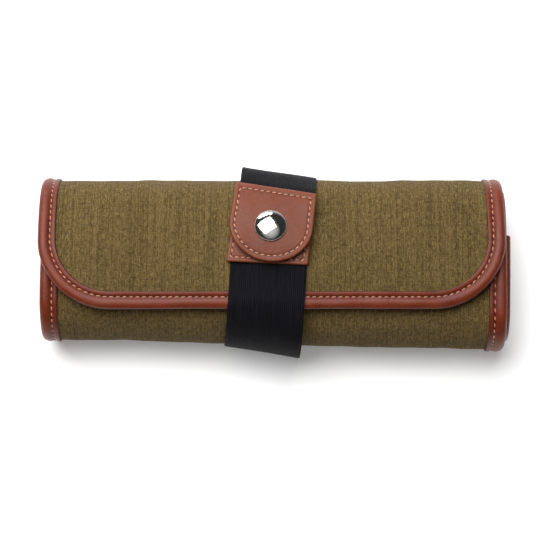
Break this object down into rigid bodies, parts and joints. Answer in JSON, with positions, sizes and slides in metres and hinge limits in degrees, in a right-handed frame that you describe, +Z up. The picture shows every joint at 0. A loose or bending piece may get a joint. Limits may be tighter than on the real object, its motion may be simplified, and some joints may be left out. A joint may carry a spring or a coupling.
{
  "type": "brush roll case",
  "caption": "Rolled canvas case for art brushes, with leather bindings, a turn-over flap and a wrap-round elastic strap closed by a snap tab.",
  "frame": {"origin": "under the middle of the roll, on the surface that it lies on", "axes": "+X along the roll, +Y towards the side that the flap turns over, +Z up"},
  "size_m": [0.2346, 0.093, 0.0593],
  "materials": {
    "canvas": "waxed olive brown cotton canvas, visible slubs",
    "lining": "plain natural cotton",
    "leather": "semi-gloss reddish brown leather",
    "patch_leather": "smooth reddish brown leather",
    "elastic": "ribbed black woven elastic",
    "snap_metal": "polished chrome"
  },
  "bodies": {
    "roll": {"outer_canvas": "canvas", "lining": "lining", "pocket_panel": "lining", "pocket_hem": "leather", "tip_guard": "lining", "left_edge_binding": "leather", "right_edge_binding": "leather", "inner_end_binding": "leather", "strap_back_run": "elastic", "strap_wrap_run": "elastic"},
    "flap": {"flap_canvas": "canvas", "flap_lining": "lining", "flap_binding": "leather", "strap_front_run": "elastic", "leather_patch": "patch_leather", "snap_stud": "snap_metal", "stud_rivet": "snap_metal"},
    "strap_shoulder": {"strap_shoulder_run": "elastic"},
    "tab": {"strap_tab_end": "elastic", "tab_backing": "patch_leather", "tab_face": "patch_leather", "snap_cap": "snap_metal", "snap_socket": "snap_metal"}
  },
  "joints": [
    {"name": "tab_open", "type": "hinge", "parent": "strap_shoulder", "child": "tab", "pos_m": [0, 0.03962, 0.04152], "axis": [-1, 0, 0], "range_deg": [0, 150]},
    {"name": "shoulder_bend", "type": "hinge", "parent": "roll", "child": "strap_shoulder", "pos_m": [0, 0.04662, 0.02752], "axis": [-1, 0, 0], "range_deg": [0, 45]},
    {"name": "flap_open", "type": "hinge", "parent": "roll", "child": "flap", "pos_m": [0, 0.0385, 0.04044], "axis": [-1, 0, 0], "range_deg": [0, 60], "deforming": ["strap_wrap_run"]}
  ],
  "couplings": [
    {"joint": "shoulder_bend", "follows": "tab_open", "ratio": 0.3},
    {"joint": "flap_open", "follows": "tab_open", "ratio": 0.4}
  ]
}
